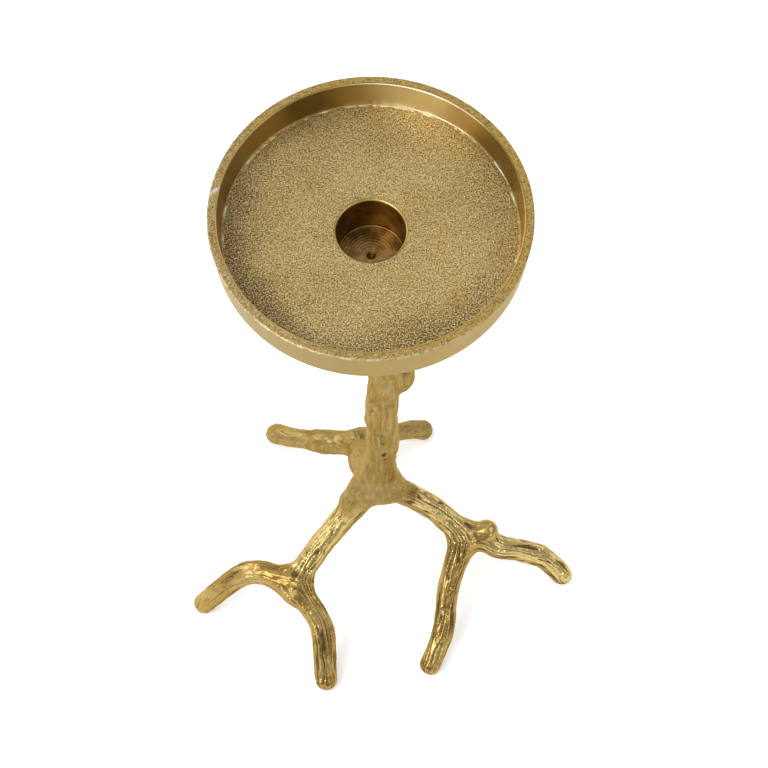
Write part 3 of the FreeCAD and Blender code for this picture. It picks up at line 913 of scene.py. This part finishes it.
def dish_gold():
    """Satin antique gold: fine dark-speckled cast grain on the floor and rim, smoother on the walls."""
    look = Nodes("dish_gold")
    cast, soot, warm = look.attribute("cast"), look.attribute("soot"), look.attribute("warm")
    grainy = look.between(cast, 0.55, 0.85)
    turned = look.times(look.between(cast, 0.2, 0.45), look.math("SUBTRACT", 1.0, grainy))
    grain = look.noise(0.00047, 1.0, 0.5, 0.2)
    cloud = look.noise(0.014, 3)
    smooth = tray_colour(look, cloud, warm)
    colour = look.mix(look.times(grainy, 0.9), smooth, grained(look, smooth, grain, soot, warm))
    # Painted shade along the recess's wall, and darker round the socket.
    colour = look.mix(look.times(soot, 0.2), colour, PATINA)
    # The turned faces in the socket and under the boss are a darker, mottled brown.
    socket_colour = look.mix(look.between(look.noise(0.004, 4, 0.65), 0.38, 0.62), SOCKET_DARK, SOCKET_BROWN)
    colour = look.mix(look.times(turned, 0.92), colour, socket_colour)
    # Painted highlights: a bright line on the bead in the recess's corner and along the rim's outer edge.
    colour = look.mix(look.between(look.attribute("bead"), 0.1, 0.75, 0, 0.9), colour, BEAD_HIGHLIGHT)
    colour = look.mix(look.times(look.attribute("worn"), 0.6), colour, HIGHLIGHT_GOLD)
    colour = look.mix(look.times(look.attribute("scratch"), 0.7), colour, BARE_METAL)
    roughness = look.add(look.between(cloud, 0.3, 0.7, 0.34, 0.40), look.times(grainy, 0.08))
    deep = look.times(grainy, look.add(look.times(soot, 1.5), 1.0))
    normal = look.bump(look.noise(0.0009, 3, 0.6), 0.00006)
    normal = look.bump(look.times(grain, deep), 0.00024, normal)
    return look.finish(colour, 1.0, roughness, normal, TRAY_EDGE)


def zinc_steel():
    """Bright zinc plate on the stud, faintly drawn along its length."""
    look = Nodes("zinc_steel")
    drawn = look.noise(0.0012, 3, 0.6, 0, (1, 1, 0.06))
    colour = look.mix(look.between(drawn, 0.35, 0.65), ZINC, PALE_ZINC)
    return look.finish(colour, 1.0, look.between(drawn, 0.3, 0.7, 0.28, 0.42), look.bump(drawn, 0.00004))


def paper_white():
    """A pale floor that glows a little, so that it stays white right up to the object."""
    look = Nodes("paper_white")
    look.shader.inputs["Specular IOR Level"].default_value = 0.1
    look.shader.inputs["Emission Color"].default_value = (1, 1, 1, 1)
    look.shader.inputs["Emission Strength"].default_value = 0.29
    return look.finish(look.mix(look.noise(0.4, 2), PAPER, PALE_PAPER), 0.0, 0.9)


# ---------------------------------------------------------------- light, floor and camera

# The softboxes: place in metres from the middle of the object, width and height in metres, and watts.
LAMPS = {
    "top_left": ((-0.45, -0.40, 1.10), (0.4, 0.4), 4),
    "left": ((-0.85, -0.35, 0.85), (0.5, 0.4), 2.5),
    "back_left": ((-0.80, 0.60, 0.35), (0.7, 0.5), 3.5),
    "front_left": ((-0.72, -0.72, 0.35), (0.2, 0.2), 1.5),
    "front_right": ((0.70, -0.72, 0.30), (0.2, 0.2), 1.0),
    "right": ((0.95, -0.20, 0.75), (0.3, 0.4), 1.5),
    "back_right": ((0.60, 0.75, 0.60), (0.3, 0.3), 1.0),
    "overhead": ((0.0, 0.45, 1.35), (1.1, 0.9), 2),
}
BRIGHT_SIDE = (-0.35, 0.45, 0.82)           # the surroundings are brightest this way: up, back and left
DIM, BRIGHT = (0.2, 0.26), (0.95, 0.66)     # how far round towards it, from 0 to 1, and the brightness there


def softbox(name, place, size, watts):
    """A rectangular lamp that faces the middle of the object."""
    middle = Vector((0, 0, TOP / 2))
    data = bpy.data.lights.new(name, "AREA")
    data.shape = "RECTANGLE"
    data.size, data.size_y = size
    data.energy = watts
    lamp = bpy.data.objects.new(name, data)
    bpy.context.scene.collection.objects.link(lamp)
    lamp.location = middle + Vector(place)
    lamp.rotation_euler = (middle - lamp.location).to_track_quat("-Z", "Y").to_euler()


def surroundings():
    """A soft grey world, brightest on its bright side."""
    world = bpy.data.worlds.new("studio")
    world.use_nodes = True
    tree = world.node_tree
    place = tree.nodes.new("ShaderNodeTexCoord")
    towards = tree.nodes.new("ShaderNodeVectorMath")
    towards.operation = "DOT_PRODUCT"
    towards.inputs[1].default_value = BRIGHT_SIDE
    half = tree.nodes.new("ShaderNodeMath")
    half.operation = "MULTIPLY_ADD"
    half.inputs[1].default_value = half.inputs[2].default_value = 0.5
    ramp = tree.nodes.new("ShaderNodeValToRGB")
    tree.links.new(place.outputs["Generated"], towards.inputs[0])
    tree.links.new(towards.outputs["Value"], half.inputs[0])
    tree.links.new(half.outputs[0], ramp.inputs["Fac"])
    tree.links.new(ramp.outputs["Color"], tree.nodes["Background"].inputs["Color"])
    for stop, (position, brightness) in zip(ramp.color_ramp.elements, (DIM, BRIGHT)):
        stop.position = position
        stop.color = (brightness, brightness, brightness, 1)
    bpy.context.scene.world = world


def floor():
    """A plain pale floor, 6 m square."""
    size = 3.0
    mesh = make_mesh("floor", [(-size, -size, 0), (size, -size, 0), (size, size, 0), (-size, size, 0)],
                     [(0, 1, 2, 3)])
    mesh.materials.append(paper_white())
    piece = link("floor", mesh)


CAMERA_PITCH, CAMERA_ROLL = math.radians(63.587), math.radians(0.382)
CAMERA_PLACE = (0.003910, -0.403641, 0.690718)              # in metres from the middle of the rim
LENS, SENSOR = 117.19, 36.0                                 # mm


def camera():
    """High in front of the dish, looking down on it."""
    forward = Vector((0, math.cos(CAMERA_PITCH), -math.sin(CAMERA_PITCH)))
    right = Vector((1, 0, 0))
    down = Vector((0, -math.sin(CAMERA_PITCH), -math.cos(CAMERA_PITCH)))
    across = math.cos(CAMERA_ROLL) * right + math.sin(CAMERA_ROLL) * down
    up = math.sin(CAMERA_ROLL) * right - math.cos(CAMERA_ROLL) * down
    data = bpy.data.cameras.new("camera")
    data.sensor_width = SENSOR
    data.lens = LENS
    data.clip_start = 0.01
    data.clip_end = 20
    view = bpy.data.objects.new("camera", data)
    bpy.context.scene.collection.objects.link(view)
    place = Vector((AXIS.x, AXIS.y, TOP)) + Vector(CAMERA_PLACE)
    view.matrix_world = Matrix.Translation(place) @ Matrix((across, up, -forward)).transposed().to_4x4()
    bpy.context.scene.camera = view


# ---------------------------------------------------------------- the whole

def main():
    """Build each piece, say what it rides on and stands for, and set up the studio."""
    gold = branch_gold()
    for name, piece in build_branches().items():
        piece.data.materials.append(gold)
        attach(piece, "root")
        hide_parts(name)
    dish = build_dish()
    dish.data.materials.append(dish_gold())
    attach(dish, "root")
    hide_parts("candle_tray")
    steel = zinc_steel()
    for stud in [piece for piece in bpy.data.objects if piece.name.startswith("tray_stud")]:
        for slot in stud.material_slots:
            slot.material = steel
    for name, (place, size, watts) in LAMPS.items():
        softbox(name, place, size, watts)
    surroundings()
    floor()
    camera()
    bpy.context.scene.view_settings.view_transform = "Standard"


main()
